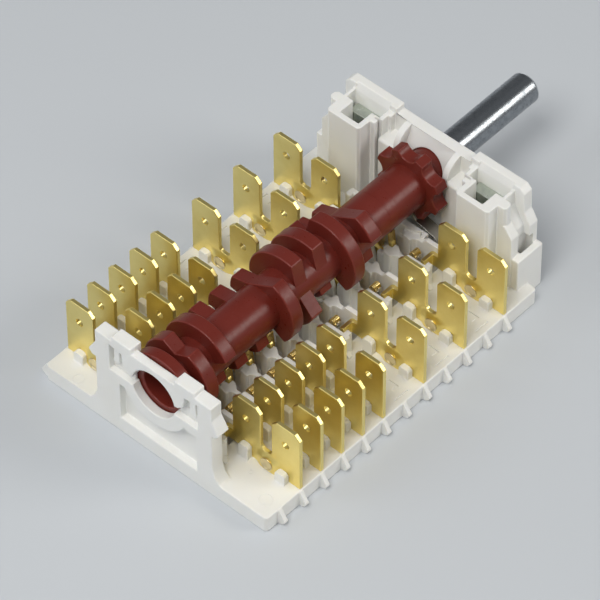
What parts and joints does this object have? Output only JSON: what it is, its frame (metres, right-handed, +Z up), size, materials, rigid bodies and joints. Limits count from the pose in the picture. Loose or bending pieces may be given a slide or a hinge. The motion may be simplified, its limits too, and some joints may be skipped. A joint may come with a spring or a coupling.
{
  "type": "oven selector switch",
  "caption": "Open-frame rotary oven selector switch: moulded base with two rows of double blade tabs, a one-piece camshaft between them and a flatted spindle out of the panel end.",
  "frame": {"origin": "on the spindle's axis in the plane of the panel face, midway between the two panel screws", "axes": "+Y along the spindle and out through the panel, +Z up from the base, +X to the right when the switch is seen from its closed end"},
  "size_m": [0.0538, 0.0959, 0.023],
  "materials": {
    "base_moulding": "satin",
    "cam_moulding": "satin",
    "spindle_steel": "satin",
    "zinc_steel": "satin",
    "spring_steel": "satin",
    "tab_brass": "satin",
    "leaf_bronze": "satin",
    "contact_silver": "satin"
  },
  "bodies": {
    "housing": {"base_frame": "base_moulding", "panel_nuts": "zinc_steel", "detent_spring": "spring_steel", "terminal_right_1": "tab_brass", "terminal_right_2": "tab_brass", "terminal_right_3": "tab_brass", "terminal_right_4": "tab_brass", "terminal_right_5": "tab_brass", "terminal_right_6": "tab_brass", "terminal_right_7": "tab_brass", "terminal_right_8": "tab_brass", "terminal_left_1": "tab_brass", "terminal_left_2": "tab_brass", "terminal_left_3": "tab_brass", "terminal_left_4": "tab_brass", "terminal_left_5": "tab_brass", "terminal_left_6": "tab_brass", "terminal_left_7": "tab_brass", "terminal_left_8": "tab_brass", "contact_leaf_1": "leaf_bronze", "contact_leaf_2": "leaf_bronze", "contact_leaf_3": "leaf_bronze", "contact_leaf_4": "leaf_bronze", "contact_leaf_5": "leaf_bronze", "contact_leaf_6": "leaf_bronze", "contact_leaf_7": "leaf_bronze", "contact_leaf_8": "leaf_bronze", "eyelets_right": "tab_brass", "eyelets_left": "tab_brass", "fixed_contacts": "contact_silver", "leaf_rivets": "tab_brass", "moving_contacts": "contact_silver"},
    "rotor": {"camshaft": "cam_moulding", "spindle": "spindle_steel"}
  },
  "joints": [
    {"name": "selector_turn", "type": "hinge", "parent": "housing", "child": "rotor", "pos_m": [0, 0, 0], "axis": [0, 1, 0], "continuous": true, "deforming": ["contact_leaf_1", "contact_leaf_2", "contact_leaf_3", "contact_leaf_4", "contact_leaf_5", "contact_leaf_6", "contact_leaf_7", "contact_leaf_8", "moving_contacts", "detent_spring"]}
  ]
}
